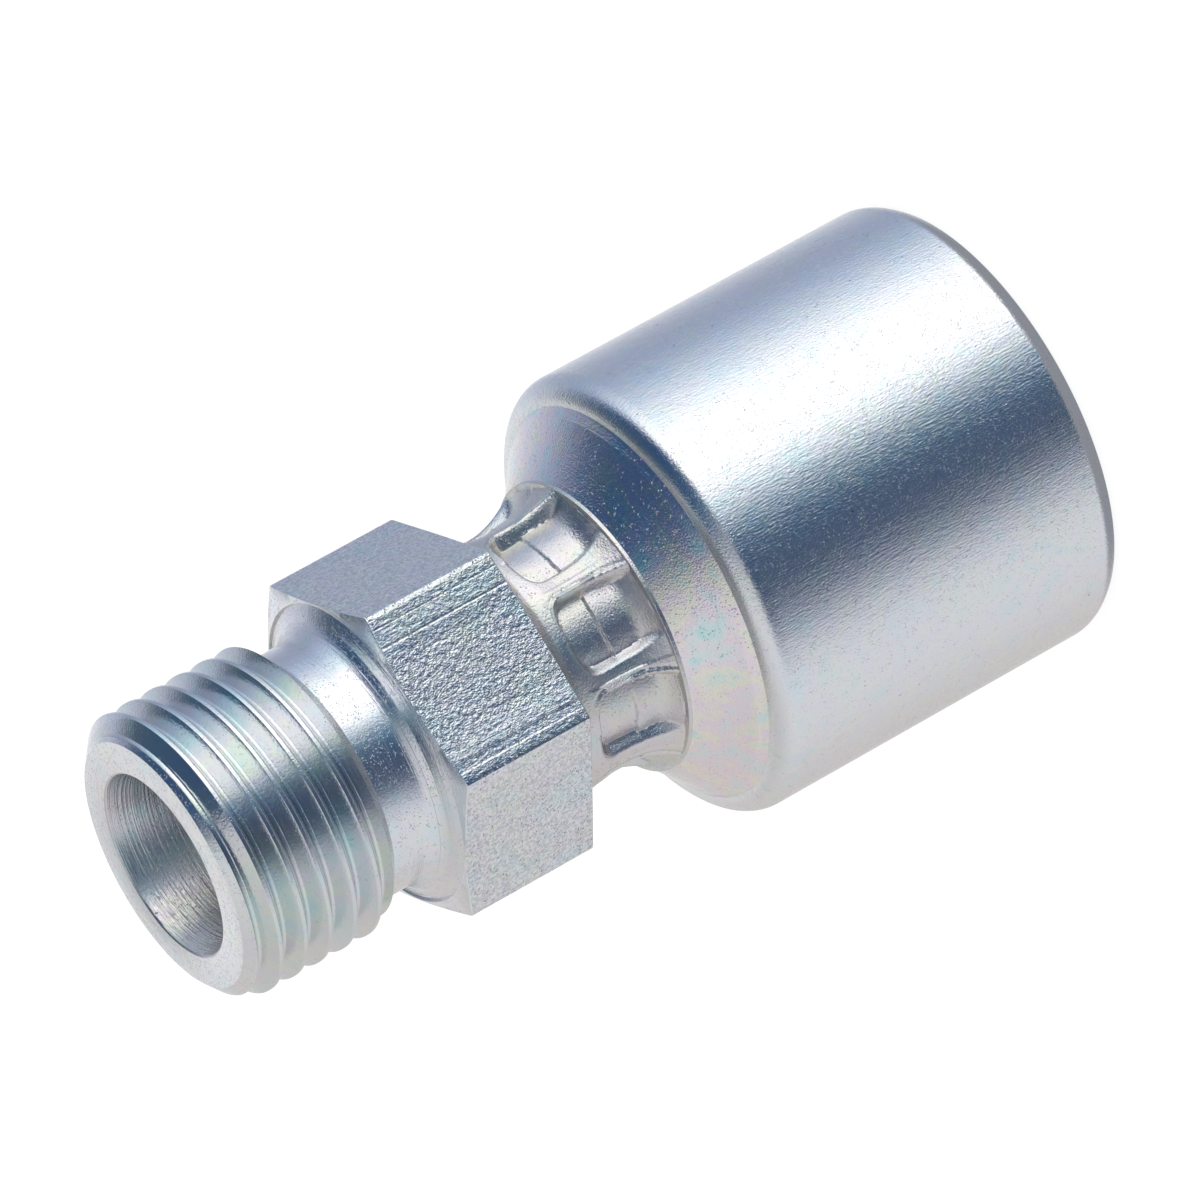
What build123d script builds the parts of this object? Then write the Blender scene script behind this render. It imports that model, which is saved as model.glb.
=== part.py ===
from build123d import *
import math
import os

# Hydraulic hose coupling: a male stem for a 24 degree cone fitting, with a crimp ferrule staked on it.
# It stands on the ferrule's open rim, thread upwards. Millimetres, origin at the middle of that rim.

os.makedirs("parts", exist_ok=True)

# Hose that the coupling is made for
hose_outside_diameter = 18.4
hose_inside_diameter = 8.4

# Ferrule shell, with the rings of teeth that grip the hose
shell_wall = 2.5
rim_chamfer_height = 0.65
rim_chamfer_width = 0.45
mouth_chamfer = 0.6
mouth_length = 2.2
tooth_count = 5
tooth_pitch = 3.2
tooth_height = 0.7
tooth_flank = 1.6
cavity_end_length = 2.0
cavity_corner_chamfer = 0.7

# Ferrule shoulder: a round, a narrow bright band, and a dished face up to the collar's root
shoulder_round = 1.3
edge_band_width = 0.4
edge_band_height = 0.43
dish_height = 2.2
root_wall = 3.9
root_ledge_width = 0.3
root_ledge_height = 0.22

# Ferrule collar, and the pockets that the staking tool leaves in it
collar_bore_diameter = 11.3
collar_wall = 1.4
collar_edge_chamfer = 0.45
root_shoulder_width = 1.15
flare_length = 2.68
pocket_count = 8
pocket_first_angle = 38.0
pocket_width = 4.2
pocket_margin = 1.15
pocket_front_length = 2.2
pocket_rear_length = 1.25
pocket_root_length = 1.03
pocket_depth = 0.55
pocket_floor_rise = 0.14
pocket_step = 0.14
pocket_root_hollow = 0.22

# Locking groove of the stem, which the ferrule's inner rib fills
running_clearance = 0.1
groove_margin = 0.7
groove_length = 3.6
groove_depth = 0.5

# Hose insert
insert_recess = 1.5
insert_tip_chamfer = 0.5
insert_nose_length = 0.9
insert_plain_length = 1.0
shank_reach = 0.3
barb_pitch = 3.2
barb_height = 0.35

# Hexagon
hex_across_flats = 17.0
hex_gap = 0.67
hex_length = 7.58
hex_turned_angle = 11.0
hex_neck_round = 1.55

# Threaded end, left as a plain blank at the major diameter
thread_diameter = 16.0
thread_length = 8.35
runout_angle = 52.0
neck_undercut = 1.125
neck_length = 1.616
lead_chamfer_width = 1.125
lead_chamfer_height = 0.95

# Cone socket and bore
cone_half_angle = 12.0
mouth_diameter = 10.15
mouth_edge_break = 0.12
tube_bore_diameter = 8.1
tube_stop_depth = 7.0
through_bore_diameter = 5.0

# Radii that follow from the sizes above
grip_radius = hose_outside_diameter / 2
cavity_radius = grip_radius + tooth_height
shell_radius = cavity_radius + shell_wall
rim_radius = shell_radius - rim_chamfer_width
band_radius = shell_radius - shoulder_round
edge_radius = band_radius - edge_band_width
bore_radius = collar_bore_diameter / 2
collar_radius = bore_radius + collar_wall
root_radius = collar_radius + root_shoulder_width
ledge_radius = root_radius - root_ledge_width
flare_width = ledge_radius - collar_radius
flare_round = (flare_width**2 + flare_length**2) / (2 * flare_width)
shank_radius = bore_radius - running_clearance
groove_radius = shank_radius - groove_depth
rib_radius = groove_radius + running_clearance
barb_radius = hose_inside_diameter / 2
insert_radius = barb_radius - barb_height
hex_corner_radius = hex_across_flats / math.sqrt(3)
thread_radius = thread_diameter / 2
neck_radius = thread_radius - neck_undercut
neck_round = min(hex_neck_round, hex_across_flats / 2 - neck_radius)
turned_slope = math.tan(math.radians(hex_turned_angle))
socket_radius = tube_bore_diameter / 2

# Heights of the ferrule, from its rim up
cavity_height = mouth_length + tooth_count * tooth_pitch + cavity_end_length
root_height = cavity_height + root_wall
edge_height = root_height - dish_height
band_height = edge_height - edge_band_height
ledge_height = root_height + root_ledge_height
flare_height = ledge_height + flare_length
pocket_foot_height = ledge_height + pocket_root_length
pocket_step_height = pocket_foot_height + pocket_rear_length
pocket_top_height = pocket_step_height + pocket_front_length
collar_height = pocket_top_height + pocket_margin
groove_top_height = collar_height - groove_margin
groove_bottom_height = groove_top_height - groove_length

# Heights of the stem, from the ferrule up
shank_foot_height = cavity_height - shank_reach
shank_height = shank_foot_height + shank_radius - insert_radius
barb_foot_height = insert_recess + insert_nose_length
barb_count = int((shank_foot_height - insert_plain_length - barb_foot_height) / barb_pitch)
hex_bottom_height = collar_height + hex_gap
hex_top_height = hex_bottom_height + hex_length


def turned_face_height(radius):
    """Height of the hexagon's shallow turned front cone at a radius."""
    return hex_top_height + (hex_corner_radius - radius) * turned_slope


round_foot_radius = neck_radius + neck_round - neck_round * math.sin(math.radians(hex_turned_angle))
round_foot_height = turned_face_height(round_foot_radius)
neck_height = round_foot_height + neck_round * math.cos(math.radians(hex_turned_angle))
runout_height = neck_height + neck_length
thread_foot_height = runout_height + neck_undercut / math.tan(math.radians(runout_angle))
front_height = thread_foot_height + thread_length

# Ferrule: turned shell, shoulder and collar
with BuildPart() as ferrule:
    with BuildSketch(Plane.XZ) as shell_section:
        with BuildLine() as shell_outline:
            # Outside, from the open rim up to the front of the collar and down its bore
            Polyline((rim_radius, 0), (shell_radius, rim_chamfer_height), (shell_radius, band_height - shoulder_round))
            RadiusArc((shell_radius, band_height - shoulder_round), (band_radius, band_height), -shoulder_round)
            Polyline(
                (band_radius, band_height),
                (edge_radius, edge_height),
                (root_radius, root_height),
                (root_radius, ledge_height),
                (ledge_radius, ledge_height),
            )
            # Collar, which flares out to its root in one round
            RadiusArc((ledge_radius, ledge_height), (collar_radius, flare_height), flare_round)
            Polyline(
                (collar_radius, flare_height),
                (collar_radius, collar_height - collar_edge_chamfer),
                (collar_radius - collar_edge_chamfer, collar_height),
                (bore_radius, collar_height),
                (bore_radius, groove_top_height),
                (rib_radius, groove_top_height),
                (rib_radius, groove_bottom_height + running_clearance),
                (bore_radius, groove_bottom_height + running_clearance),
                (bore_radius, cavity_height),
                (cavity_radius - cavity_corner_chamfer, cavity_height),
                (cavity_radius, cavity_height - cavity_corner_chamfer),
            )
            # Inside, down over the saw teeth to the mouth: square backs face the blind end
            teeth = [(cavity_radius, cavity_height - cavity_corner_chamfer)]
            for tooth in reversed(range(tooth_count)):
                foot = mouth_length + tooth * tooth_pitch
                teeth += [(cavity_radius, foot + tooth_flank), (grip_radius, foot + tooth_flank), (cavity_radius, foot)]
            Polyline(*teeth, (cavity_radius, mouth_chamfer), (cavity_radius + mouth_chamfer, 0), (rim_radius, 0))
        make_face()
    revolve(axis=Axis.Z)

    # Stepped pockets round the collar, deeper towards the hexagon
    floor_radius = collar_radius - pocket_depth
    step_radius = floor_radius + pocket_floor_rise
    foot_radius = step_radius + pocket_step + pocket_floor_rise
    for pocket in range(pocket_count):
        turn = math.radians(pocket_first_angle + pocket * 360 / pocket_count)
        outwards = (math.cos(turn), math.sin(turn), 0)
        across = (math.sin(turn), -math.cos(turn), 0)
        with BuildSketch(Plane((0, 0, 0), x_dir=outwards, z_dir=across)) as pocket_section:
            with BuildLine() as pocket_outline:
                Polyline(
                    (ledge_radius, ledge_height),
                    (root_radius, ledge_height),
                    (root_radius, pocket_top_height),
                    (floor_radius, pocket_top_height),
                    (step_radius, pocket_step_height),
                    (step_radius + pocket_step, pocket_step_height),
                    (foot_radius, pocket_foot_height),
                )
                SagittaArc((foot_radius, pocket_foot_height), (ledge_radius, ledge_height), -pocket_root_hollow)
            make_face()
        extrude(amount=pocket_width / 2, both=True, mode=Mode.SUBTRACT)

# Stem: thread blank, neck, hexagon, locking groove and barbed insert, all one piece of hexagon bar
with BuildPart() as stem:
    with BuildSketch(Plane.XY.offset(hex_bottom_height)) as hex_section:
        RegularPolygon(radius=hex_across_flats / 2, side_count=6, major_radius=False)
    extrude(amount=turned_face_height(neck_radius) - hex_bottom_height)

    # The front of the hexagon is turned to a shallow cone, its back is left square
    with BuildSketch(Plane.XZ) as turned_section:
        with BuildLine() as turned_outline:
            Polyline(
                (0, hex_bottom_height),
                (hex_corner_radius, hex_bottom_height),
                (hex_corner_radius, hex_top_height),
                (neck_radius, turned_face_height(neck_radius)),
                (0, turned_face_height(neck_radius)),
                close=True,
            )
        make_face()
    revolve(axis=Axis.Z, mode=Mode.INTERSECT)

    with BuildSketch(Plane.XZ) as spindle_section:
        with BuildLine() as spindle_outline:
            # Threaded end down to the neck and its round into the hexagon
            Polyline(
                (0, front_height),
                (thread_radius - lead_chamfer_width, front_height),
                (thread_radius, front_height - lead_chamfer_height),
                (thread_radius, thread_foot_height),
                (neck_radius, runout_height),
                (neck_radius, neck_height),
            )
            RadiusArc((neck_radius, neck_height), (round_foot_radius, round_foot_height), -neck_round)
            # Shank with the locking groove, then the barbed insert down to its tip
            barbs = [(insert_radius, shank_foot_height)]
            for barb in reversed(range(barb_count)):
                top = barb_foot_height + (barb + 1) * barb_pitch
                barbs += [(insert_radius, top), (barb_radius, top)]
            Polyline(
                (round_foot_radius, round_foot_height),
                (round_foot_radius, hex_top_height),
                (shank_radius, hex_top_height),
                (shank_radius, groove_top_height),
                (groove_radius, groove_top_height),
                (groove_radius, groove_bottom_height),
                (shank_radius, groove_bottom_height),
                (shank_radius, shank_height),
                *barbs,
                (insert_radius, barb_foot_height),
                (insert_radius, insert_recess + insert_tip_chamfer),
                (insert_radius - insert_tip_chamfer, insert_recess),
                (0, insert_recess),
                (0, front_height),
            )
        make_face()
    revolve(axis=Axis.Z)

    # Cone socket, straight tube seat with its stop, and the bore right through
    with BuildSketch(Plane.XZ) as socket_section:
        with BuildLine() as socket_outline:
            cone_depth = (mouth_diameter - tube_bore_diameter) / 2 / math.tan(math.radians(cone_half_angle))
            Polyline(
                (0, front_height),
                (mouth_diameter / 2, front_height),
                (socket_radius, front_height - cone_depth),
                (socket_radius, front_height - tube_stop_depth),
                (through_bore_diameter / 2, front_height - tube_stop_depth),
                (through_bore_diameter / 2, insert_recess),
                (0, insert_recess),
                close=True,
            )
        make_face()
    revolve(axis=Axis.Z, mode=Mode.SUBTRACT)
    mouth_edge = stem.edges().filter_by(GeomType.CIRCLE).group_by(Axis.Z)[-1].sort_by(SortBy.RADIUS)[0]
    chamfer(mouth_edge, mouth_edge_break)

ferrule.part.label = "ferrule"
stem.part.label = "stem"
export_step(ferrule.part, "parts/ferrule.step")
export_step(stem.part, "parts/stem.step")
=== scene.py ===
"""Hydraulic hose coupling, dressed: a turned and threaded stem with a crimp ferrule staked on it.

The pieces are modelled in millimetres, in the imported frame, and become metres when they are finished.
"""

import logging
import math
from collections.abc import Callable, Iterator, Sequence
from dataclasses import dataclass, field
from enum import Enum

import bmesh
import bpy
from mathutils import Matrix, Vector, noise


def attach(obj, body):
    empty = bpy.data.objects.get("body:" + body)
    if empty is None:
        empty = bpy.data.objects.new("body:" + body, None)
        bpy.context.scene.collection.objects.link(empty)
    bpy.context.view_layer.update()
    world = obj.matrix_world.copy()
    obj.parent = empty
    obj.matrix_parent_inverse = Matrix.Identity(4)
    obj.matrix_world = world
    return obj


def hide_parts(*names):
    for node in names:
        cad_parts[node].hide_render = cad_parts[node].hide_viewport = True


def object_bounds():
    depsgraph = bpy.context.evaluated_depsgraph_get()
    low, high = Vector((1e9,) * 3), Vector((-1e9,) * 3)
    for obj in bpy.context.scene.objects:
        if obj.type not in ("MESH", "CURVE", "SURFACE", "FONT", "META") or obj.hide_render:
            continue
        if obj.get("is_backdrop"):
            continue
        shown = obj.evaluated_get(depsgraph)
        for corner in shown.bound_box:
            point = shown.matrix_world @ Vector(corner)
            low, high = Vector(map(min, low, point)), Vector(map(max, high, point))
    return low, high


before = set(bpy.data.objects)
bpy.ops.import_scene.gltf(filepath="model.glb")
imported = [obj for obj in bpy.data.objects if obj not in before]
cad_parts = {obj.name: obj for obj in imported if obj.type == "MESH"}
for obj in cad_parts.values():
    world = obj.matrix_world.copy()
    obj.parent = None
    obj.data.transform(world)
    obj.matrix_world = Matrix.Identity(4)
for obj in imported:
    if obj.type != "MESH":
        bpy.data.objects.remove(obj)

log = logging.getLogger("coupling")

# One millimetre in metres, and the distance in millimetres under which two places count as one
METRE = 0.001
NEAR = 0.002
SHARP_ANGLE = math.radians(35)

Point = tuple[float, float]
Colour = tuple[float, float, float]


def smooth(value: float, low: float, high: float) -> float:
    """Eased step.

    Args:
        value: Number to place between the limits.
        low: Where the step starts, at 0.
        high: Where the step ends, at 1.

    Returns:
        A number from 0 to 1.
    """
    share = min(max((value - low) / (high - low), 0.0), 1.0)
    return share * share * (3 - 2 * share)


def arc(centre: Point, radius: float, start: float, end: float, steps: int) -> list[Point]:
    """Points along a round of a turned section.

    Args:
        centre: Radius and height of the round's centre.
        radius: Radius of the round.
        start: Angle of the first point, in degrees.
        end: Angle of the last point, in degrees.
        steps: Number of runs between the points.

    Returns:
        The points, both ends included.
    """
    angles = (math.radians(start + (end - start) * step / steps) for step in range(steps + 1))
    return [(centre[0] + radius * math.cos(a), centre[1] + radius * math.sin(a)) for a in angles]


def placed(name: str, mesh: bmesh.types.BMesh) -> bpy.types.Object:
    """Makes an object of a finished mesh and puts it in the scene, at the origin."""
    data = bpy.data.meshes.new(name)
    mesh.to_mesh(data)
    mesh.free()
    made = bpy.data.objects.new(name, data)
    bpy.context.scene.collection.objects.link(made)
    return made


@dataclass
class Lathe:
    """A mesh turned about the coupling's axis, in millimetres until it is finished.

    Its columns are the steps of one full turn, so meridians stand at fixed angles from +X.
    """

    columns: int
    mesh: bmesh.types.BMesh = field(default_factory=bmesh.new)

    def turn(self, section: Sequence[Point], closed: bool) -> None:
        """Spins a section of radii and heights through a full turn.

        Args:
            section: Corners of the section, in order.
            closed: True where the last corner joins the first.
        """
        corners = [self.mesh.verts.new((radius, 0, height)) for radius, height in section]
        ends = corners[1:] + corners[:1] if closed else corners[1:]
        edges = [self.mesh.edges.new(pair) for pair in zip(corners, ends)]
        bmesh.ops.spin(
            self.mesh,
            geom=corners + edges,
            cent=(0, 0, 0),
            axis=(0, 0, 1),
            angle=math.tau,
            steps=self.columns,
            use_merge=True,
        )

    def round_ring(self, radius: float, height: float, width: float, segments: int = 3) -> None:
        """Rounds the ring of edges that stands at a radius and height.

        Args:
            radius: Radius of the ring.
            height: Height of the ring.
            width: How far the round reaches along both neighbours.
            segments: Number of faces across the round.
        """
        ring = [
            edge
            for edge in self.mesh.edges
            if all(
                abs(v.co.z - height) < NEAR and abs(math.hypot(v.co.x, v.co.y) - radius) < NEAR
                for v in edge.verts
            )
        ]
        bmesh.ops.bevel(
            self.mesh,
            geom=ring,
            offset=width,
            offset_type="OFFSET",
            affect="EDGES",
            segments=segments,
            profile=0.5,
            material=-1,
        )

    def refine(self, inner: float, low: float, high: float, spacing: float) -> None:
        """Adds rings between others, so that no two stand further apart than the spacing.

        Args:
            inner: Least radius of the faces that are divided.
            low: Least height of them.
            high: Greatest height of them.
            spacing: Greatest distance between two rings.
        """
        strips: dict[int, list[bmesh.types.BMEdge]] = {}
        for edge in self.mesh.edges:
            a, b = (v.co for v in edge.verts)
            middle = (a + b) / 2
            along = abs(a.x * b.y - a.y * b.x) < NEAR * a.xy.length
            if along and low < middle.z < high and middle.xy.length > inner:
                cuts = math.ceil((a - b).length / spacing - 0.01) - 1
                if cuts > 0:
                    strips.setdefault(cuts, []).append(edge)
        for cuts, edges in strips.items():
            bmesh.ops.subdivide_edges(self.mesh, edges=edges, cuts=cuts)

    def shape(self, rule: Callable[[float, float, float], tuple[float, float]]) -> None:
        """Moves every vertex in its own meridian plane.

        Args:
            rule: Takes a vertex's radius, angle and height, and returns its new radius and height.
        """
        for vertex in self.mesh.verts:
            radius = vertex.co.xy.length
            new_radius, vertex.co.z = rule(radius, math.atan2(vertex.co.y, vertex.co.x), vertex.co.z)
            vertex.co.xy = vertex.co.xy * (new_radius / radius)

    def finished(
        self, name: str, finishes: Sequence["ZincFinish"], choose: Callable[[Vector, Vector], int]
    ) -> bpy.types.Object:
        """Closes the mesh, makes it metres, shades it and gives it its finishes.

        Args:
            name: Name of the piece.
            finishes: The piece's finishes, in the order of its material slots.
            choose: Takes a face's middle and normal, and returns its finish's place in that order.

        Returns:
            The piece's object, at the origin.
        """
        bmesh.ops.remove_doubles(self.mesh, verts=self.mesh.verts, dist=NEAR)
        bmesh.ops.dissolve_degenerate(self.mesh, dist=NEAR / 10, edges=self.mesh.edges)
        bmesh.ops.recalc_face_normals(self.mesh, faces=self.mesh.faces)
        for face in self.mesh.faces:
            face.smooth = True
            face.material_index = choose(face.calc_center_median(), face.normal)
        for edge in self.mesh.edges:
            edge.smooth = edge.calc_face_angle(0.0) < SHARP_ANGLE
        loose = sum(not edge.is_manifold for edge in self.mesh.edges)
        bmesh.ops.scale(self.mesh, vec=(METRE, METRE, METRE), verts=self.mesh.verts)
        piece = placed(name, self.mesh)
        for finish in finishes:
            piece.data.materials.append(finish.material())
        piece.modifiers.new("weighted_normals", "WEIGHTED_NORMAL").keep_sharp = True
        log.info("%s: %d faces, %d open edges", name, len(piece.data.polygons), loose)
        return piece


@dataclass
class Thread:
    """Right-hand thread, swept one pitch at a time and trimmed by the lead chamfer and the run-out."""

    radius: float = 8.0
    root_radius: float = 7.08
    pitch: float = 1.5
    phase_height: float = 49.987
    turns: int = 8
    crest_half_width: float = 0.08
    crest_round: float = 0.06
    root_round: float = 0.19
    flank_turn: float = 60.0
    neck_radius: float = 6.875
    front_height: float = 50.894
    lead_height: float = 0.95
    foot_height: float = 41.665
    runout_slope: float = math.tan(math.radians(52))

    def section(self) -> list[Point]:
        """One pitch of the thread's section, from the middle of a crest to the middle of the next.

        Returns:
            Radii and heights, the first crest at height 0.
        """
        crest_centre = (self.radius - self.crest_round, self.crest_half_width)
        root_centre = (self.root_radius + self.root_round, self.pitch / 2)
        crest = arc(crest_centre, self.crest_round, 0, self.flank_turn, 3)
        root = arc(root_centre, self.root_round, 180 + self.flank_turn, 180, 5)
        falling = [(self.radius, 0.0), *crest, *root]
        rising = [(r, self.pitch - z) for r, z in reversed(falling[:-1])]
        return falling + rising

    def on_lead(self, radius: float, height: float) -> bool:
        """Whether a place lies on the lead chamfer."""
        drop = self.front_height - height
        cone = self.neck_radius + drop * (self.radius - self.neck_radius) / self.lead_height
        return drop < self.lead_height and abs(radius - cone) < 5 * NEAR

    def cut_cone(self, lathe: Lathe, slope: float, height: float) -> None:
        """Turns the thread down to a cone that meets the neck's radius at a height.

        The mesh is first cut along the cone, with each height exchanged for its place across it.

        Args:
            lathe: Lathe that holds the swept thread.
            slope: Gain of the cone's radius for each millimetre of height.
            height: Height where the cone has the neck's radius.
        """
        foot = self.neck_radius - slope * height
        for vertex in lathe.mesh.verts:
            vertex.co.z = vertex.co.xy.length - slope * vertex.co.z
        bmesh.ops.bisect_plane(
            lathe.mesh,
            geom=[*lathe.mesh.verts, *lathe.mesh.edges, *lathe.mesh.faces],
            dist=NEAR / 4,
            plane_co=(0, 0, foot),
            plane_no=(0, 0, 1),
        )
        for vertex in lathe.mesh.verts:
            vertex.co.z = (vertex.co.xy.length - vertex.co.z) / slope
        lathe.shape(lambda radius, angle, z: (min(radius, foot + slope * z), z))

    def sweep(self, lathe: Lathe) -> None:
        """Sweeps the helix into an empty lathe and trims both of its ends.

        Args:
            lathe: Lathe that takes the thread.
        """
        mesh = lathe.mesh
        corners = [mesh.verts.new((r, 0, self.phase_height + z)) for r, z in self.section()]
        edges = [mesh.edges.new(pair) for pair in zip(corners, corners[1:])]
        bmesh.ops.spin(
            mesh,
            geom=corners + edges,
            cent=(0, 0, 0),
            axis=(0, 0, 1),
            dvec=(0, 0, self.pitch / lathe.columns),
            angle=math.tau,
            steps=lathe.columns,
        )
        turn = [*mesh.verts, *mesh.edges, *mesh.faces]
        for step in range(1, self.turns):
            copy = bmesh.ops.duplicate(mesh, geom=turn)["geom"]
            verts = [part for part in copy if isinstance(part, bmesh.types.BMVert)]
            bmesh.ops.translate(mesh, vec=(0, 0, -step * self.pitch), verts=verts)
        bmesh.ops.remove_doubles(mesh, verts=mesh.verts, dist=NEAR)
        lead_slope = (self.neck_radius - self.radius) / self.lead_height
        self.cut_cone(lathe, lead_slope, self.front_height)
        self.cut_cone(lathe, self.runout_slope, self.foot_height)
        for height, outwards in ((self.front_height, 1), (self.foot_height, -1)):
            self._trim(lathe, height, outwards)

    def _trim(self, lathe: Lathe, height: float, outwards: int) -> None:
        """Cuts one end of the thread square and leaves one vertex on each meridian.

        Args:
            lathe: Lathe that holds the thread.
            height: Height of the cut.
            outwards: 1 where what stands above the cut goes, -1 where what hangs below it goes.
        """
        bmesh.ops.bisect_plane(
            lathe.mesh,
            geom=[*lathe.mesh.verts, *lathe.mesh.edges, *lathe.mesh.faces],
            dist=NEAR / 4,
            plane_co=(0, 0, height),
            plane_no=(0, 0, outwards),
            clear_outer=True,
        )
        ring = [v for v in lathe.mesh.verts if abs(v.co.z - height) < NEAR and v.is_boundary]
        places = {v: math.atan2(v.co.y, v.co.x) / math.tau * lathe.columns for v in ring}
        on_meridian = ((v, place) for v, place in places.items() if abs(place - round(place)) < 0.01)
        regular = {round(place) % lathe.columns: v for v, place in on_meridian}
        welds = {
            v: regular[round(place) % lathe.columns]
            for v, place in places.items()
            if regular.get(round(place) % lathe.columns, v) is not v
        }
        bmesh.ops.weld_verts(lathe.mesh, targetmap=welds)


@dataclass
class Hexagon:
    """Hexagon of drawn bar: flats, a shallow turned front, and a narrow ring round the neck's foot."""

    apothem: float = 8.5
    bottom: float = 30.62
    top: float = 38.2
    turned_slope: float = math.tan(math.radians(11))
    corner_round: float = 0.22
    ring_radius: float = 8.4
    ring_depth: float = 0.1
    ring_draft: float = 0.03
    blend_depth: float = 0.5
    break_width: float = 0.07

    @property
    def corner_radius(self) -> float:
        """Radius of the sharp corners."""
        return self.apothem / math.cos(math.pi / 6)

    def face_height(self, radius: float) -> float:
        """Height of the turned front at a radius."""
        return self.top + (self.corner_radius - radius) * self.turned_slope

    def outline(self, angle: float) -> float:
        """Radius of the hexagon's side at an angle.

        Args:
            angle: Angle from +X, in radians, where a corner stands.

        Returns:
            The radius, with the corners slightly rounded.
        """
        turn = (angle + math.pi / 6) % (math.pi / 3) - math.pi / 6
        flat = self.apothem / math.cos(abs(turn) - math.pi / 6)
        centre = (self.apothem - self.corner_round) / math.cos(math.pi / 6)
        across = centre * math.sin(turn)
        if abs(across) > self.corner_round / 2:
            return flat
        return centre * math.cos(turn) + math.sqrt(self.corner_round**2 - across**2)

    def section(self, foot: Point) -> list[Point]:
        """Section from the neck's round to the back of the hexagon, round as it is before it is shaped.

        Args:
            foot: Radius and height where the neck's round ends.

        Returns:
            Radii and heights.
        """
        ring_height = self.face_height(self.ring_radius)
        return [
            (foot[0] + self.ring_depth, foot[1] - self.ring_depth),
            (self.ring_radius - self.ring_draft, ring_height - self.ring_depth),
            (self.ring_radius, ring_height),
            (self.corner_radius, self.top),
            (self.corner_radius, self.bottom),
        ]

    def shape(self, radius: float, angle: float, height: float) -> tuple[float, float]:
        """Place of a vertex of the turned blank once the bar's flats are there.

        Args:
            radius: Radius in the blank.
            angle: Angle from +X, in radians.
            height: Height in the blank.

        Returns:
            Radius and height in the hexagon.
        """
        if radius <= self.ring_radius or not self.bottom - NEAR < height:
            return radius, height
        share = (radius - self.ring_radius) / (self.corner_radius - self.ring_radius)
        shaped = self.ring_radius + share * (self.outline(angle) - self.ring_radius)
        lift = max(0.0, 1 - max(self.top - height, 0.0) / self.blend_depth)
        return shaped, height + lift * (radius - shaped) * self.turned_slope


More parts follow.
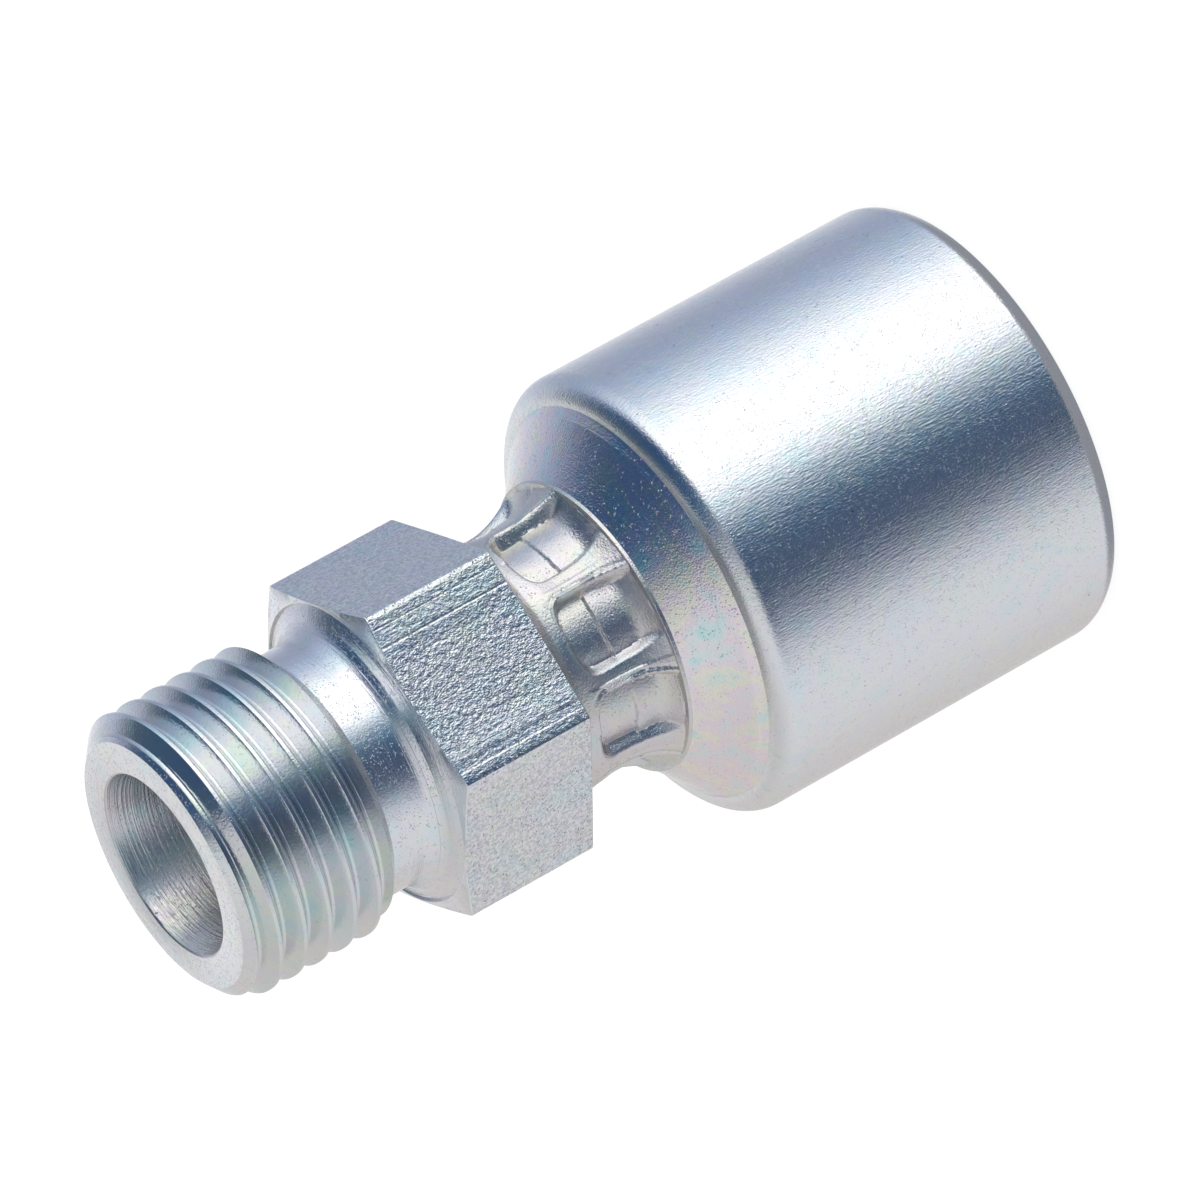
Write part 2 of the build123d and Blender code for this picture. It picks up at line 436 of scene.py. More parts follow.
@dataclass
class Stem:
    """The whole stem, from the thread's front face to the tip of the barbed insert."""

    thread: Thread = field(default_factory=Thread)
    hexagon: Hexagon = field(default_factory=Hexagon)
    columns: int = 360
    neck_height: float = 40.049
    neck_round: float = 1.55
    tool_line_angle: float = 218.0
    tool_line_depth: float = 0.02
    tool_line_run: float = 0.6
    face_angle: float = 237.8
    foot_angle: float = 259.0
    shank_radius: float = 5.55
    groove_radius: float = 5.05
    groove_top: float = 29.25
    groove_bottom: float = 25.65
    shank_height: float = 21.6
    insert_radius: float = 3.85
    insert_foot: float = 19.9
    barb_radius: float = 4.2
    barb_pitch: float = 3.2
    barb_foot: float = 2.4
    barbs: int = 5
    tip_height: float = 1.5
    tip_chamfer: float = 0.5
    bore_radius: float = 2.5
    seat_radius: float = 4.05
    seat_depth: float = 7.0
    mouth_radius: float = 5.075
    cone_depth: float = 4.82
    turned_reach: float = 1.0
    row_spacing: float = 0.9

    def section(self) -> list[Point]:
        """Section from the run-out round the insert's tip and up the bore to the front."""
        neck = self.thread.neck_radius
        centre = (neck + self.neck_round, self.neck_height)
        line, face = self.tool_line_angle, self.face_angle
        points = [(neck, self.thread.foot_height)]
        points += arc(centre, self.neck_round, 180, line, 8)
        points += arc(centre, self.neck_round + self.tool_line_depth, line + self.tool_line_run, face, 4)
        points += arc(centre, self.neck_round, face, self.foot_angle, 1)[1:]
        points += self.hexagon.section(points[-1])
        points += [
            (self.shank_radius, self.hexagon.bottom),
            (self.shank_radius, self.groove_top),
            (self.groove_radius, self.groove_top),
            (self.groove_radius, self.groove_bottom),
            (self.shank_radius, self.groove_bottom),
            (self.shank_radius, self.shank_height),
            (self.insert_radius, self.insert_foot),
        ]
        for barb in reversed(range(self.barbs)):
            height = self.barb_foot + (barb + 1) * self.barb_pitch
            points += [(self.insert_radius, height), (self.barb_radius, height)]
        front = self.thread.front_height
        return points + [
            (self.insert_radius, self.barb_foot),
            (self.insert_radius, self.tip_height + self.tip_chamfer),
            (self.insert_radius - self.tip_chamfer, self.tip_height),
            (self.bore_radius, self.tip_height),
            (self.bore_radius, front - self.seat_depth),
            (self.seat_radius, front - self.seat_depth),
            (self.seat_radius, front - self.cone_depth),
            (self.mouth_radius, front),
            (neck, front),
        ]

    def finish_of(self, middle: Vector, normal: Vector) -> int:
        """Place of a face's finish among the stem's finishes."""
        radius = middle.xy.length
        if middle.z > self.thread.foot_height and radius > self.thread.neck_radius:
            return 1 if self.thread.on_lead(radius, middle.z) else 0
        if middle.z > self.hexagon.bottom and radius > self.hexagon.apothem - NEAR and abs(normal.z) < 0.1:
            return 2
        if middle.z < self.hexagon.top - self.turned_reach or radius < self.bore_radius + NEAR:
            return 3
        return 4 if normal.xy.dot(middle.xy) < -0.1 * radius else 1

    def build(self) -> bpy.types.Object:
        """Models the stem.

        Returns:
            The piece's object.
        """
        lathe = Lathe(self.columns)
        self.thread.sweep(lathe)
        lathe.turn(self.section(), closed=False)
        hexagon, front = self.hexagon, self.thread.front_height
        for radius, height, width in (
            (hexagon.corner_radius, hexagon.top, hexagon.break_width),
            (hexagon.corner_radius, hexagon.bottom, hexagon.break_width),
            (self.mouth_radius, front, 0.12),
            (self.thread.neck_radius, self.neck_height, 0.05),
            (self.insert_radius - self.tip_chamfer, self.tip_height, 0.12),
            (self.insert_radius, self.tip_height + self.tip_chamfer, 0.15),
        ):
            lathe.round_ring(radius, height, width)
        for barb in range(self.barbs):
            lathe.round_ring(self.barb_radius, self.barb_foot + (barb + 1) * self.barb_pitch, 0.08, 2)
        lathe.refine(hexagon.ring_radius, hexagon.bottom - NEAR, hexagon.top - NEAR, self.row_spacing)
        lathe.shape(hexagon.shape)
        return lathe.finished("turned_stem", STEM_FINISHES, self.finish_of)


@dataclass(frozen=True)
class Strike:
    """How one pocket differs from the regular one: its turn in degrees, and its step's height."""

    turn: float = 0.0
    step: float = 0.0


@dataclass
class Pockets:
    """The ring of stepped pockets that the staking tool leaves round the ferrule's collar."""

    first_angle: float = math.radians(38)
    strikes: tuple[Strike, ...] = (
        *(Strike(), Strike(0.5, 0.05), Strike(-0.4, -0.1), Strike(0.3)),
        *(Strike(1.2, -0.28), Strike(-0.3, 0.08), Strike(0.0, 0.16), Strike(-0.5, -0.05)),
    )
    half_width: float = 2.14
    front: float = 28.92
    front_length: float = 1.15
    step: float = 26.72
    step_bow: float = 0.16
    front_floor: float = 6.5
    front_rise: float = 0.066
    rear_floor: float = 6.8
    rear_rise: float = 0.1
    floor_curve: float = 19.0
    wall: float = 0.46
    edge_round: float = 0.06
    step_wall: float = 0.16
    step_edge: float = 0.45
    corner_power: float = 3.0
    root_height: float = 24.32
    root_top: float = 25.55
    root_rise: float = 0.92
    root_power: float = 2.2
    tail_reach: float = 0.4
    tail_taper: float = 0.12
    land_rise: float = 0.17
    land_fade: float = 0.35
    lip_width: float = 0.2
    lip_waver: float = 0.35
    lip_round: float = 0.04
    crease_depth: float = 0.05
    crease_width: float = 0.14

    def floor(self, across: float, height: float, strike: Strike) -> float:
        """Distance of a pocket's floor from the axis.

        Args:
            across: Distance from the pocket's middle plane.
            height: Height above the frame's origin.
            strike: How this pocket differs from the regular one.

        Returns:
            Distance from the axis, square to the pocket's middle.
        """
        side = across / self.half_width
        step = self.step + strike.step + self.step_bow * (0.5 - side * side)
        front = self.front_floor + (self.front - height) * self.front_rise
        root = max(self.root_top - height, 0.0) / (self.root_top - self.root_height)
        hollow = self.root_rise * root**self.root_power
        rear = self.rear_floor + (self.step - height) * self.rear_rise + hollow
        lens = self.step_wall * (self.step_edge + (1 - self.step_edge) * smooth(1 - abs(side), 0, 0.7))
        share = min(max((step - height) / lens + 0.5, 0.0), 1.0)
        return front + (rear - front) * share - across * across / self.floor_curve

    def inside(self, across: float, height: float) -> float:
        """How far inside a pocket's outline a place is, in millimetres, negative outside it.

        Args:
            across: Distance from the pocket's middle plane.
            height: Height above the frame's origin.

        Returns:
            The distance, correct near the outline.
        """
        power = self.corner_power
        end = max(height - (self.front - self.front_length), 0.0) / self.front_length
        tail = max(self.root_top + self.tail_reach - height, 0.0)
        width = self.half_width - self.tail_taper * tail
        side = abs(across) / width
        value = side**power + end**power
        slopes = side ** (power - 1) / width, end ** (power - 1) / self.front_length
        steep = power * math.hypot(*slopes)
        return (1 - value) / max(steep, 0.4)

    def land(self, flat: float, beside: float, height: float) -> float:
        """Radius of the collar beside a pocket: the land climbs from one pocket to the lip of the next.

        Args:
            flat: Radius of the unmarked collar.
            beside: Distance outside the pocket's outline, negative on the side without a lip.
            height: Height above the frame's origin.

        Returns:
            The radius.
        """
        half = max(flat * math.pi / len(self.strikes) - self.half_width, 0.3)
        climb = 0.5 + math.copysign(0.5, beside) * (1 - min(abs(beside) / half, 1.0))
        rise = self.land_rise * climb
        if beside > 0:
            waver = noise.noise(Vector((0.0, height * 0.9, flat)))
            width = self.lip_width * (1 + self.lip_waver * waver)
            rise += self.lip_round * max(1 - (2 * beside / width - 1) ** 2, 0.0)
            rise -= self.crease_depth * smooth(1 - abs(beside - width) / self.crease_width, 0, 1)
        return flat + rise * smooth(self.front + self.land_fade - height, 0, 2 * self.land_fade)

    def relief(self, flat: float, angle: float, height: float) -> float:
        """Radius of the collar where the pockets have been pressed in.

        Args:
            flat: Radius of the unmarked collar there.
            angle: Angle from +X, in radians.
            height: Height above the frame's origin.

        Returns:
            The radius.
        """
        pitch = math.tau / len(self.strikes)
        place = (angle - self.first_angle + pitch / 2) % math.tau
        strike = self.strikes[int(place / pitch) % len(self.strikes)]
        turn = place % pitch - pitch / 2 - math.radians(strike.turn)
        across = flat * math.sin(turn)
        inside = self.inside(across, height)
        land = self.land(flat, math.copysign(max(-inside, 0.0), turn), height)
        floor = self.floor(across, height, strike)
        return land + min(floor - land, 0.0) * smooth(inside, -self.edge_round, self.wall)


@dataclass
class Ferrule:
    """The crimp ferrule: shell, dished shoulder, staked collar, and the teeth inside."""

    pockets: Pockets = field(default_factory=Pockets)
    columns: int = 600
    shell_radius: float = 12.4
    rim_radius: float = 11.95
    rim_height: float = 0.65
    round_radius: float = 1.3
    band_radius: float = 11.1
    band_height: float = 21.47
    edge_radius: float = 10.7
    edge_height: float = 21.9
    root_radius: float = 8.2
    root_height: float = 24.1
    ledge_radius: float = 7.9
    ledge_height: float = 24.32
    flare_height: float = 27.6
    flare_power: float = 2.4
    flare_steps: int = 12
    collar_radius: float = 7.05
    collar_height: float = 29.95
    collar_chamfer: float = 0.45
    bore_radius: float = 5.65
    rib_radius: float = 5.15
    rib_top: float = 29.25
    rib_bottom: float = 25.75
    cavity_height: float = 20.2
    cavity_radius: float = 9.9
    cavity_corner: float = 0.7
    grip_radius: float = 9.2
    tooth_pitch: float = 3.2
    tooth_flank: float = 1.6
    teeth: int = 5
    mouth_length: float = 2.2
    mouth_chamfer: float = 0.6
    dish_hollow: float = 0.09
    collar_swell: float = 0.02
    dish_spacing: float = 0.5
    collar_spacing: float = 0.078

    def flare(self) -> Iterator[Point]:
        """Points along the collar's side, which widens towards the root."""
        for step in range(self.flare_steps + 1):
            share = 1 - step / self.flare_steps
            widening = (self.ledge_radius - self.collar_radius) * share**self.flare_power
            reach = self.flare_height - self.ledge_height
            yield self.collar_radius + widening, self.flare_height - share * reach

    def section(self) -> list[Point]:
        """Closed section of the ferrule, from the rim up the outside and down inside."""
        points = [(self.rim_radius, 0.0), (self.shell_radius, self.rim_height)]
        centre = (self.band_radius, self.band_height - self.round_radius)
        points += arc(centre, self.round_radius, 0, 90, 10)
        points += [
            (self.edge_radius, self.edge_height),
            (self.root_radius, self.root_height),
            (self.root_radius, self.ledge_height),
            *self.flare(),
            (self.collar_radius, self.collar_height - self.collar_chamfer),
            (self.collar_radius - self.collar_chamfer, self.collar_height),
            (self.bore_radius, self.collar_height),
            (self.bore_radius, self.rib_top),
            (self.rib_radius, self.rib_top),
            (self.rib_radius, self.rib_bottom),
            (self.bore_radius, self.rib_bottom),
            (self.bore_radius, self.cavity_height),
            (self.cavity_radius - self.cavity_corner, self.cavity_height),
            (self.cavity_radius, self.cavity_height - self.cavity_corner),
        ]
        for tooth in reversed(range(self.teeth)):
            foot = self.mouth_length + tooth * self.tooth_pitch
            points += [
                (self.cavity_radius, foot + self.tooth_flank),
                (self.grip_radius, foot + self.tooth_flank),
                (self.cavity_radius, foot),
            ]
        return points + [
            (self.cavity_radius, self.mouth_chamfer),
            (self.cavity_radius + self.mouth_chamfer, 0.0),
        ]

    def shape(self, radius: float, angle: float, height: float) -> tuple[float, float]:
        """Place of a vertex once the shoulder is dished and the collar is staked.

        Args:
            radius: Radius in the turned blank.
            angle: Angle from +X, in radians.
            height: Height in the blank.

        Returns:
            Radius and height in the ferrule.
        """
        if radius < self.collar_radius - self.collar_chamfer - NEAR or height < self.edge_height - NEAR:
            return radius, height
        if radius > self.root_radius - NEAR and height < self.root_height + NEAR:
            share = (self.edge_radius - radius) / (self.edge_radius - self.root_radius)
            return radius, height - self.dish_hollow * 4 * share * (1 - share)
        if height > self.ledge_height - NEAR and radius < self.ledge_radius + NEAR:
            place = Vector((math.cos(angle) * 3, math.sin(angle) * 3, height))
            swell = self.collar_swell * noise.noise(place)
            return self.pockets.relief(radius, angle, height) + swell, height
        return radius, height

    def finish_of(self, middle: Vector, normal: Vector) -> int:
        """Place of a face's finish among the ferrule's finishes."""
        radius = middle.xy.length
        outwards = normal.x * middle.x + normal.y * middle.y > 0
        if middle.z > self.root_height and radius > self.bore_radius + 0.05:
            return 2
        if middle.z > self.band_height and radius > self.root_radius - NEAR:
            return 1
        return 0 if outwards and radius > self.rim_radius - 1 else 3

    def build(self) -> bpy.types.Object:
        """Models the ferrule.

        Returns:
            The piece's object.
        """
        lathe = Lathe(self.columns)
        lathe.turn(self.section(), closed=True)
        for radius, height, width in (
            (self.rim_radius, 0.0, 0.1),
            (self.shell_radius, self.rim_height, 0.35),
            (self.band_radius, self.band_height, 0.04),
            (self.edge_radius, self.edge_height, 0.05),
            (self.root_radius, self.ledge_height, 0.05),
            (self.collar_radius, self.collar_height - self.collar_chamfer, 0.2),
            (self.collar_radius - self.collar_chamfer, self.collar_height, 0.1),
            (self.cavity_radius + self.mouth_chamfer, 0.0, 0.1),
        ):
            lathe.round_ring(radius, height, width)
        lathe.refine(self.root_radius - NEAR, self.edge_height, self.root_height, self.dish_spacing)
        collar_edge = self.collar_radius - self.collar_chamfer - NEAR
        lathe.refine(collar_edge, self.ledge_height, self.collar_height, self.collar_spacing)
        lathe.shape(self.shape)
        return lathe.finished("staked_ferrule", FERRULE_FINISHES, self.finish_of)


@dataclass(frozen=True)
class Signal:
    """One output of a node tree, with arithmetic that adds Math nodes."""

    graph: "Graph"
    socket: bpy.types.NodeSocket

    def calc(self, operation: str, *values: "Signal | float") -> "Signal":
        """Result of a Math node on the values, in order."""
        return self.graph.add("ShaderNodeMath", {"operation": operation}, dict(enumerate(values)))

    def __add__(self, other: "Signal | float") -> "Signal":
        """Sum."""
        return self.calc("ADD", self, other)

    def __radd__(self, other: float) -> "Signal":
        """Sum with a number on the left."""
        return self.calc("ADD", other, self)

    def __sub__(self, other: "Signal | float") -> "Signal":
        """Difference."""
        return self.calc("SUBTRACT", self, other)

    def __rsub__(self, other: float) -> "Signal":
        """Difference from a number on the left."""
        return self.calc("SUBTRACT", other, self)

    def __mul__(self, other: "Signal | float") -> "Signal":
        """Product."""
        return self.calc("MULTIPLY", self, other)

    def __rmul__(self, other: float) -> "Signal":
        """Product with a number on the left."""
        return self.calc("MULTIPLY", other, self)

    def __truediv__(self, other: "Signal | float") -> "Signal":
        """Quotient."""
        return self.calc("DIVIDE", self, other)

    def __pow__(self, other: float) -> "Signal":
        """Power."""
        return self.calc("POWER", self, other)

    def __abs__(self) -> "Signal":
        """Size without its sign."""
        return self.calc("ABSOLUTE", self)

    def step(self, low: float, high: float) -> "Signal":
        """Eased step from 0 at the low value to 1 at the high one, which may be the smaller number."""
        settings = {"interpolation_type": "SMOOTHSTEP", "clamp": True}
        return self.graph.add(
            "ShaderNodeMapRange", settings, {"Value": self, "From Min": low, "From Max": high}
        )


class Graph:
    """A node tree that is built from the shader's end of the work, one call for each node."""

    def __init__(self, tree: bpy.types.NodeTree) -> None:
        """Takes a tree and empties it."""
        self.tree = tree
        tree.nodes.clear()

    def add(
        self,
        kind: str,
        settings: dict[str, object] | None = None,
        inputs: dict[str | int, object] | None = None,
        output: str | int = 0,
    ) -> Signal:
        """Adds a node.

        Args:
            kind: Blender's name of the node's type.
            settings: The node's own settings, with a ramp's stops as "stops".
            inputs: Values or signals of its sockets, by name or place.
            output: Name or place of the output that is wanted.

        Returns:
            That output.
        """
        node = self.tree.nodes.new(kind)
        for name, value in (settings or {}).items():
            if name == "stops":
                self._set_stops(node.color_ramp, value)
            else:
                setattr(node, name, value)
        for name, value in (inputs or {}).items():
            socket = node.inputs[name]
            if isinstance(value, Signal):
                self.tree.links.new(value.socket, socket)
            else:
                socket.default_value = value
        return Signal(self, node.outputs[output] if len(node.outputs) else None)

    def _set_stops(self, ramp: bpy.types.ColorRamp, stops: Sequence[tuple[float, Colour]]) -> None:
        """Gives a ramp its stops, positions from 0 to 1."""
        while len(ramp.elements) < len(stops):
            ramp.elements.new(1.0)
        for element, (position, colour) in zip(ramp.elements, stops):
            element.position = position
            element.color = (*colour, 1)

    def vector(self, x: Signal | float, y: Signal | float, z: Signal | float) -> Signal:
        """Vector of three numbers."""
        return self.add("ShaderNodeCombineXYZ", None, {0: x, 1: y, 2: z})

    def scaled(self, vector: Signal, scale: Sequence[float]) -> Signal:
        """Vector times three fixed numbers."""
        return self.add("ShaderNodeVectorMath", {"operation": "MULTIPLY"}, {0: vector, 1: tuple(scale)})

    def cloud(self, vector: Signal, scale: float, detail: float = 2.0, rough: float = 0.5) -> Signal:
        """Noise from 0 to 1 at a place.

        Args:
            vector: The place.
            scale: Size of the noise's cells, as cells for each unit of the place.
            detail: Number of finer layers.
            rough: Strength of the finer layers.

        Returns:
            The noise's value.
        """
        inputs = {"Vector": vector, "Scale": scale, "Detail": detail, "Roughness": rough}
        return self.add("ShaderNodeTexNoise", None, inputs, "Fac")

    def dots(self, vector: Signal, scale: float) -> Signal:
        """Distance of a place from the nearest of scattered points, in cells of 1 / scale."""
        inputs = {"Vector": vector, "Scale": scale, "Randomness": 1.0}
        return self.add("ShaderNodeTexVoronoi", None, inputs, "Distance")

    def axes(self, vector: Signal) -> Iterator[Signal]:
        """The three numbers of a vector."""
        return (self.add("ShaderNodeSeparateXYZ", None, {0: vector}, axis) for axis in "XYZ")

    def ramp(self, value: Signal, stops: Sequence[tuple[float, Colour]]) -> Signal:
        """Colour at a value from 0 to 1."""
        return self.add("ShaderNodeValToRGB", {"stops": stops}, {"Fac": value})

    def blend(self, share: Signal | float, a: object, b: object, mode: str = "MIX") -> Signal:
        """Mix of two colours.

        Args:
            share: How much of the second colour is taken, from 0 to 1.
            a: First colour, or its signal.
            b: Second colour, or its signal.
            mode: Blender's name for the way they mix.

        Returns:
            The mixed colour.
        """
        settings = {"data_type": "RGBA", "blend_type": mode}
        return self.add("ShaderNodeMix", settings, {"Factor": share, 6: a, 7: b}, 2)


class Grain(Enum):
    """Direction of the fine marks that made the surface."""

    LENGTHWISE = "lengthwise"
    ROUND = "round"


# Tints of the plate, as colours at values of a noise from 0 to 1
TINTS = (
    (0.30, (0.52, 0.86, 0.86)),
    (0.41, (0.80, 0.85, 0.86)),
    (0.49, (0.92, 0.76, 0.85)),
    (0.56, (0.93, 0.89, 0.70)),
    (0.63, (0.72, 0.86, 0.80)),
    (0.74, (0.66, 0.74, 0.94)),
)
# Colour of the dark specks and scratches, and also of the painted shade laid into the pits
MARK_AND_PIT_SHADE_COLOUR = (0.22, 0.21, 0.21)
# Colour of the painted shade laid over the low places of the drawn flats' orange peel
PEEL_SHADE_COLOUR = (0.28, 0.33, 0.38)


@dataclass(frozen=True)
class ZincFinish:
    """Bright zinc plate on worked steel. Lengths are in millimetres."""

    name: str
    base: Colour = (0.79, 0.825, 0.86)
    roughness: float = 0.17
    grain: Grain = Grain.ROUND
    grain_scale: float = 9.0
    grain_height: float = 0.006
    peel_scale: float = 7.0
    peel_height: float = 0.01
    peel_stretch: float = 1.0
    swell_height: float = 0.01
    pit_scale: float = 6.0
    pit_depth: float = 0.016
    pit_shade: float = 0.25
    tint: float = 0.32
    tint_scale: float = 0.35
    specks: float = 0.35
    speck_scale: float = 1.5
    scratches: float = 0.3

    def material(self) -> bpy.types.Material:
        """Makes the finish.

        Returns:
            The material, on Object coordinates.
        """
        made = bpy.data.materials.new(self.name)
        made.use_nodes = True
        graph = Graph(made.node_tree)
        metres = graph.add("ShaderNodeTexCoord", None, None, "Object")
        place = graph.scaled(metres, (1 / METRE,) * 3)
        grain = graph.cloud(self._grain_place(graph, place), self.grain_scale, 3.0, 0.6)
        pits = self._pits(graph, place)
        relief = self._relief(graph, place) + grain * self.grain_height - pits * self.pit_depth
        patches = graph.cloud(place, 0.5, 3.0, 0.55)
        colour = self._colour(graph, place, pits)
        bump = graph.add("ShaderNodeBump", None, {"Strength": 1.0, "Distance": METRE, "Height": relief})
        roughness = self.roughness * (0.7 + patches * 0.32 + grain * 0.28)
        metal = graph.add(
            "ShaderNodeBsdfPrincipled",
            None,
            {"Base Color": colour, "Metallic": 1.0, "Roughness": roughness, "Normal": bump},
        )
        graph.add("ShaderNodeOutputMaterial", None, {"Surface": metal})
        return made

    def _grain_place(self, graph: Graph, place: Signal) -> Signal:
        """Place stretched along the fine marks, so that noise on it draws them."""
        if self.grain is Grain.LENGTHWISE:
            return graph.scaled(place, (1, 1, 0.12))
        x, y, z = graph.axes(place)
        radius = (x * x + y * y) ** 0.5
        return graph.vector(radius, z, x * 0.03 + y * 0.02)

    def _relief(self, graph: Graph, place: Signal) -> Signal:
        """Height of the plate's orange peel and of the slow swells under it, in millimetres."""
        stretched = graph.scaled(place, (1, 1, 1 / self.peel_stretch))
        peel = graph.cloud(stretched, self.peel_scale, 2.0, 0.6)
        return peel * self.peel_height + graph.cloud(place, 0.9, 1.0) * self.swell_height

    def _pits(self, graph: Graph, place: Signal) -> Signal:
        """Small round pits in the plate, from 0 beside them to 1 at their bottoms."""
        size = graph.cloud(place, 2.3, 2.0).step(0.35, 0.7)
        return graph.dots(place, self.pit_scale).step(0.36, 0.08) * size

    def _colour(self, graph: Graph, place: Signal, pits: Signal) -> Signal:
        """Colour of the plate: its tints, dark specks, short fine scratches, and painted shade in the pits.
        """
        drift = graph.cloud(place, self.tint_scale, 5.0, 0.62)
        tinted = graph.blend(self.tint, (*self.base, 1), graph.ramp(drift, TINTS))
        sparse = graph.cloud(place, 0.6 * self.speck_scale, 1.0).step(0.5, 0.62)
        speck = graph.dots(place, self.speck_scale).step(0.13, 0.04) * sparse * self.specks
        curls = graph.cloud(place, 1.7, 1.0)
        hair = abs(curls - 0.5).step(0.006, 0.001) * graph.cloud(place, 1.1, 0.0).step(0.58, 0.66)
        # Specks and scratches are marks on the plate; the pits' share is painted shade
        marks_and_pit_shade = speck + hair * self.scratches + pits * self.pit_shade
        return graph.blend(marks_and_pit_shade, tinted, (*MARK_AND_PIT_SHADE_COLOUR, 1))


# Ledges that the drawing die leaves across a flat: distance from its edge, and relief from 0 to 1
DIE_MARKS = (
    (0.00, 0.30),
    (0.18, 0.62),
    (0.62, 0.66),
    (0.70, 0.30),
    (1.18, 0.30),
    (1.25, 0.95),
    (1.42, 0.85),
    (1.85, 0.60),
    (2.30, 0.50),
    (7.20, 0.50),
    (7.60, 0.62),
    (7.94, 0.60),
    (8.00, 0.05),
    (8.06, 0.10),
    (8.12, 0.55),
    (8.98, 0.50),
    (9.03, 0.18),
    (9.10, 0.52),
    (9.60, 0.55),
    (9.81, 0.20),
)


@dataclass(frozen=True)
class DrawnFinish(ZincFinish):
    """Finish of the drawn bar's flats: orange peel in the middle, die lines towards the corners."""

    flat_width: float = 9.815
    die_height: float = 0.09
    line_height: float = 0.02
    hollow_shade: float = 0.34

    def _colour(self, graph: Graph, place: Signal, pits: Signal) -> Signal:
        """Colour of the plate, with painted shade laid over the low places of the orange peel."""
        # Painted shade: the peel's low places are darkened in the colour
        shaded_hollows = graph.cloud(place, self.peel_scale, 2.0, 0.6).step(0.58, 0.40)
        plate = super()._colour(graph, place, pits)
        return graph.blend(shaded_hollows * self.hollow_shade, plate, (*PEEL_SHADE_COLOUR, 1))

    def _relief(self, graph: Graph, place: Signal) -> Signal:
        """Height of the orange peel and of the die's lines and ledges, in millimetres."""
        x, y, z = graph.axes(place)
        radius = (x * x + y * y) ** 0.5
        angle = y.calc("ARCTAN2", y, x)
        sixth = math.pi / 6
        turn = angle.calc("WRAP", angle - sixth, sixth, -sixth)
        across = radius * turn.calc("SINE", turn)
        stops = [(at / self.flat_width, (level,) * 3) for at, level in DIE_MARKS]
        ledges = graph.ramp(across / self.flat_width + 0.5, stops)
        lined = abs(across).step(2.1, 3.3) * (y / radius) ** 4
        lines = graph.cloud(graph.vector(across, angle * 0.1, z * 0.01), 5.0, 3.0, 0.7)
        ledge = graph.add("ShaderNodeSeparateColor", None, {0: ledges}, 0)
        die = ledge * self.die_height + lines * self.line_height
        return die * lined + super()._relief(graph, place) * (1 - lined * 0.6)


STEM_FINISHES = (
    ZincFinish(
        "zinc_thread",
        base=(0.66, 0.73, 0.745),
        grain_height=0.005,
        pit_depth=0.008,
        tint_scale=0.28,
    ),
    ZincFinish("zinc_turned", grain_height=0.018, pit_scale=9.0, pit_depth=0.02, tint=0.25),
    DrawnFinish(
        "zinc_drawn",
        grain=Grain.LENGTHWISE,
        peel_scale=5.0,
        peel_height=0.085,
        peel_stretch=1.3,
        pit_depth=0.03,
        pit_shade=0.55,
        specks=0.8,
        speck_scale=5.0,
    ),
    ZincFinish("zinc_insert", roughness=0.26, base=(0.7, 0.72, 0.74)),
    ZincFinish(
        "zinc_bore", roughness=0.23, base=(0.62, 0.63, 0.64), grain_height=0.045, grain_scale=7.0
    ),
)
FERRULE_FINISHES = (
    ZincFinish(
        "zinc_shell",
        roughness=0.14,
        grain=Grain.LENGTHWISE,
        grain_scale=10.0,
        grain_height=0.016,
        peel_scale=9.0,
        peel_height=0.018,
        peel_stretch=1.5,
        pit_scale=8.0,
        pit_depth=0.009,
        tint=0.24,
        tint_scale=0.5,
        specks=0.6,
        scratches=0.5,
    ),
    ZincFinish(
        "zinc_shoulder", grain_height=0.014, peel_scale=9.0, peel_height=0.02, tint=0.7, tint_scale=0.5
    ),
    ZincFinish(
        "zinc_collar",
        base=(0.64, 0.635, 0.63),
        roughness=0.28,
        grain_height=0.0,
        peel_scale=9.0,
        peel_height=0.03,
        swell_height=0.04,
        tint=0.3,
    ),
    ZincFinish("zinc_cavity", roughness=0.28, base=(0.66, 0.68, 0.7)),
)


# Lit tent that the metal mirrors, as colours at azimuths in degrees: near the horizon, and overhead
LOW_LIGHT = (
    (0, (0.52, 0.62, 0.80)),
    (11, (0.40, 0.48, 0.64)),
    (27, (0.32, 0.37, 0.50)),
    (43, (0.40, 0.45, 0.58)),
    (59, (0.62, 0.65, 0.74)),
    (75, (0.95, 0.96, 0.98)),
    (99, (0.66, 0.63, 0.62)),
    (131, (0.67, 0.65, 0.64)),
    (155, (0.74, 0.74, 0.76)),
    (195, (0.76, 0.78, 0.81)),
    (211, (0.58, 0.60, 0.66)),
    (227, (0.13, 0.17, 0.24)),
    (243, (0.06, 0.09, 0.15)),
    (259, (0.06, 0.10, 0.18)),
    (270, (0.10, 0.18, 0.28)),
    (277, (0.20, 0.34, 0.46)),
    (285, (0.72, 0.82, 0.88)),
    (292, (1.3, 1.35, 1.35)),
    (300, (1.5, 1.5, 1.5)),
    (325, (1.5, 1.5, 1.5)),
    (343, (0.95, 1.03, 1.08)),
    (360, (0.52, 0.62, 0.80)),
)
HIGH_LIGHT = (
    (0, (0.04, 0.08, 0.17)),
    (25, (0.05, 0.10, 0.18)),
    (60, (0.10, 0.13, 0.15)),
    (75, (0.30, 0.33, 0.33)),
    (90, (0.60, 0.60, 0.60)),
    (110, (0.60, 0.58, 0.58)),
    (140, (0.64, 0.64, 0.65)),
    (200, (0.76, 0.77, 0.79)),
    (235, (0.66, 0.68, 0.70)),
    (262, (0.38, 0.40, 0.45)),
    (285, (0.12, 0.19, 0.26)),
    (320, (0.04, 0.09, 0.20)),
    (360, (0.04, 0.08, 0.17)),
)
UNDER_LIGHT = (0.30, 0.31, 0.34)


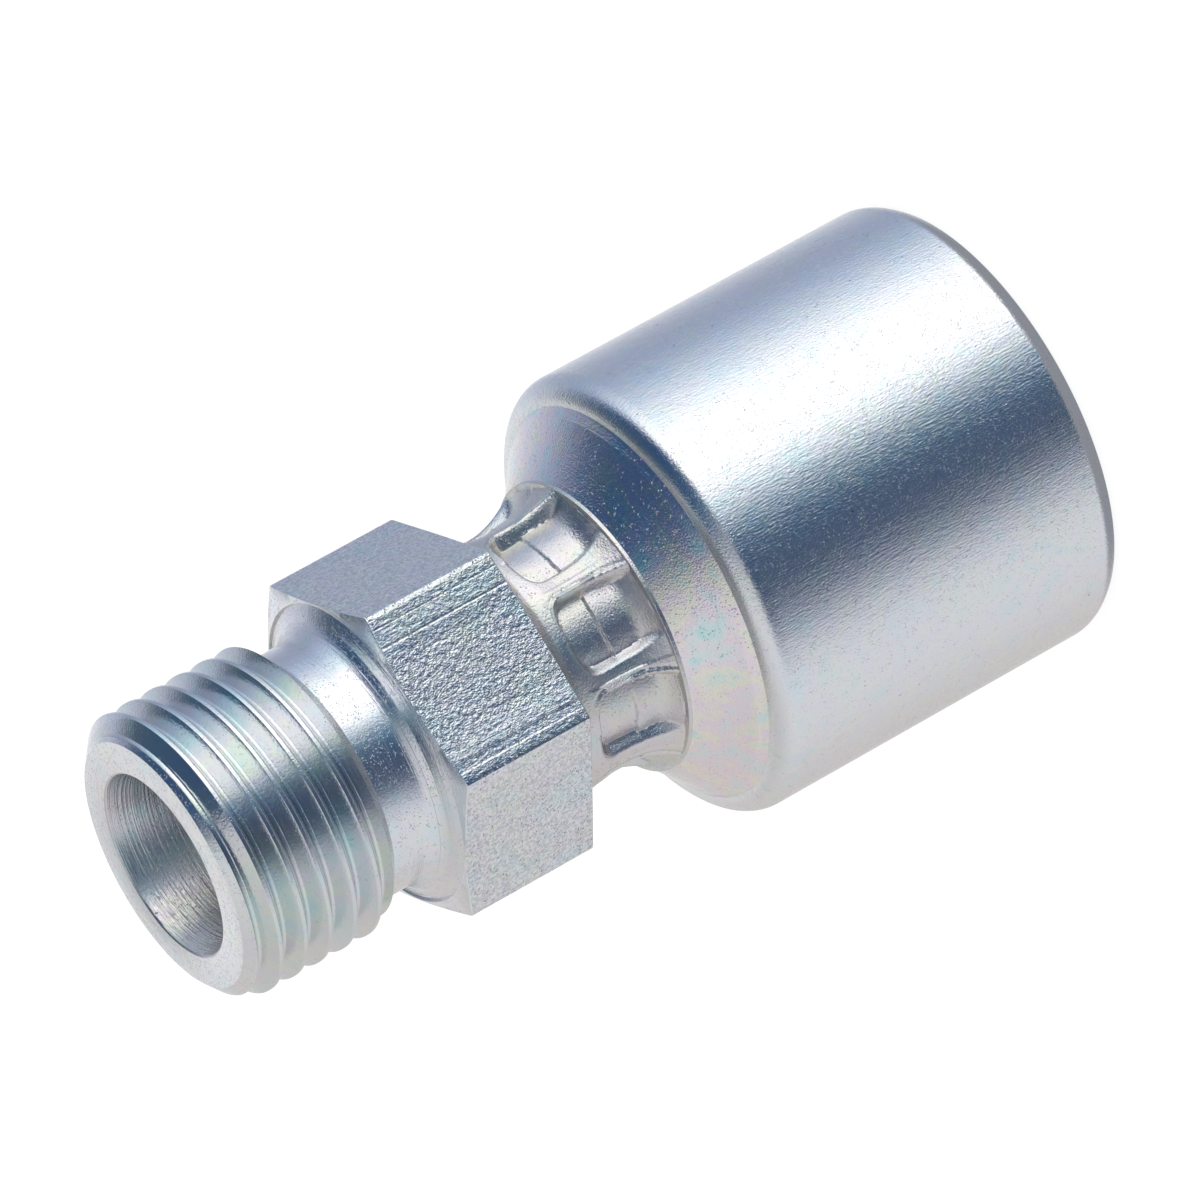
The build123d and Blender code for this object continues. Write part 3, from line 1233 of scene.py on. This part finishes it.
@dataclass
class Studio:
    """Plain pale floor, soft light from all round, and the camera at the photograph's viewing angle."""

    floor_size: float = 12.0
    floor_colour: Colour = (0.2, 0.2, 0.2)
    floor_glow: float = 0.85
    air: float = 1.12
    azimuth: float = 6.784
    elevation: float = 23.335
    roll: float = 118.95
    # Middle of the front face, and where the camera sees it: across, down and ahead, in millimetres
    aim: tuple[float, float, float] = (0.0, 0.0, 50.894)
    aim_in_view: tuple[float, float, float] = (-21.73, 13.21, 525.2)
    lens: float = 316.7
    sensor: float = 36.0

    def build_floor(self) -> None:
        """Lays the floor, which shows from above only and keeps out of reflections."""
        mesh = bmesh.new()
        bmesh.ops.create_grid(mesh, x_segments=1, y_segments=1, size=self.floor_size / 2)
        floor = placed("floor", mesh)
        paint = bpy.data.materials.new("pale_floor")
        paint.use_nodes = True
        graph = Graph(paint.node_tree)
        cover = graph.add(
            "ShaderNodeBsdfPrincipled",
            None,
            {
                "Base Color": (*self.floor_colour, 1),
                "Roughness": 1.0,
                "Specular IOR Level": 0.0,
                "Emission Color": (1, 1, 1, 1),
                "Emission Strength": self.floor_glow,
            },
        )
        clear = graph.add("ShaderNodeBsdfTransparent")
        below = graph.add("ShaderNodeNewGeometry", None, None, "Backfacing")
        sided = graph.add("ShaderNodeMixShader", None, {0: below, 1: cover, 2: clear})
        graph.add("ShaderNodeOutputMaterial", None, {"Surface": sided})
        floor.data.materials.append(paint)
        floor.visible_glossy = False
        floor.visible_shadow = False
        floor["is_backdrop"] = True

    def build_light(self) -> None:
        """Surrounds the scene with soft white light, and with a lit tent for the metal to mirror."""
        world = bpy.data.worlds.new("studio")
        bpy.context.scene.world = world
        world.use_nodes = True
        world.cycles.sampling_method = "NONE"
        graph = Graph(world.node_tree)
        direction = graph.add("ShaderNodeTexCoord", None, None, "Generated")
        x, y, z = graph.axes(direction)
        angle = y.calc("ARCTAN2", y, x)
        turn = angle.calc("FRACT", angle / math.tau + 1)
        low, high = (
            graph.ramp(turn, [(degrees / 360, colour) for degrees, colour in stops])
            for stops in (LOW_LIGHT, HIGH_LIGHT)
        )
        tent = graph.blend(z.step(0.35, 0.62), low, high)
        tent = graph.blend(z.step(-0.5, -0.72), tent, (*UNDER_LIGHT, 1))
        mirrored = graph.add("ShaderNodeLightPath", None, None, "Is Glossy Ray")
        seen = graph.blend(mirrored, (self.air,) * 3 + (1,), tent)
        glow = graph.add("ShaderNodeBackground", None, {"Color": seen, "Strength": 1.0})
        graph.add("ShaderNodeOutputWorld", None, {"Surface": glow})

    def build_camera(self) -> None:
        """Sets up the camera that took the photograph."""
        data = bpy.data.cameras.new("camera")
        data.lens = self.lens
        data.sensor_width = self.sensor
        camera = bpy.data.objects.new("camera", data)
        bpy.context.scene.collection.objects.link(camera)
        azimuth, elevation, roll = (math.radians(a) for a in (self.azimuth, self.elevation, self.roll))
        level = Vector((math.cos(azimuth), -math.sin(azimuth), 0))
        ahead = Vector((math.sin(azimuth), math.cos(azimuth), 0)) * math.cos(elevation)
        ahead.z = -math.sin(elevation)
        upright = level.cross(ahead)
        right = level * math.cos(roll) - upright * math.sin(roll)
        up = level * math.sin(roll) + upright * math.cos(roll)
        across, down, depth = self.aim_in_view
        place = Vector(self.aim) - right * across + up * down - ahead * depth
        turned = Matrix((right, up, -ahead)).transposed().to_4x4()
        camera.matrix_world = Matrix.Translation(place * METRE) @ turned
        bpy.context.scene.camera = camera
        bpy.context.scene.view_settings.view_transform = "Standard"


def corners() -> Iterator[list[float]]:
    """The lowest and the highest corner of what shows of the object, as plain lists."""
    return (list(corner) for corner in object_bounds())


def main() -> None:
    """Builds the studio and both pieces."""
    logging.basicConfig(level=logging.INFO, format="%(name)s: %(message)s")
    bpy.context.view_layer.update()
    studio = Studio()
    studio.build_floor()
    studio.build_light()
    studio.build_camera()
    for sub_assembly, node, slot in ((Stem(), "stem", "stem_zinc"), (Ferrule(), "ferrule", "ferrule_zinc")):
        piece = sub_assembly.build()
        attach(piece, "root")
        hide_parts(node)


if __name__ == "__main__":
    main()
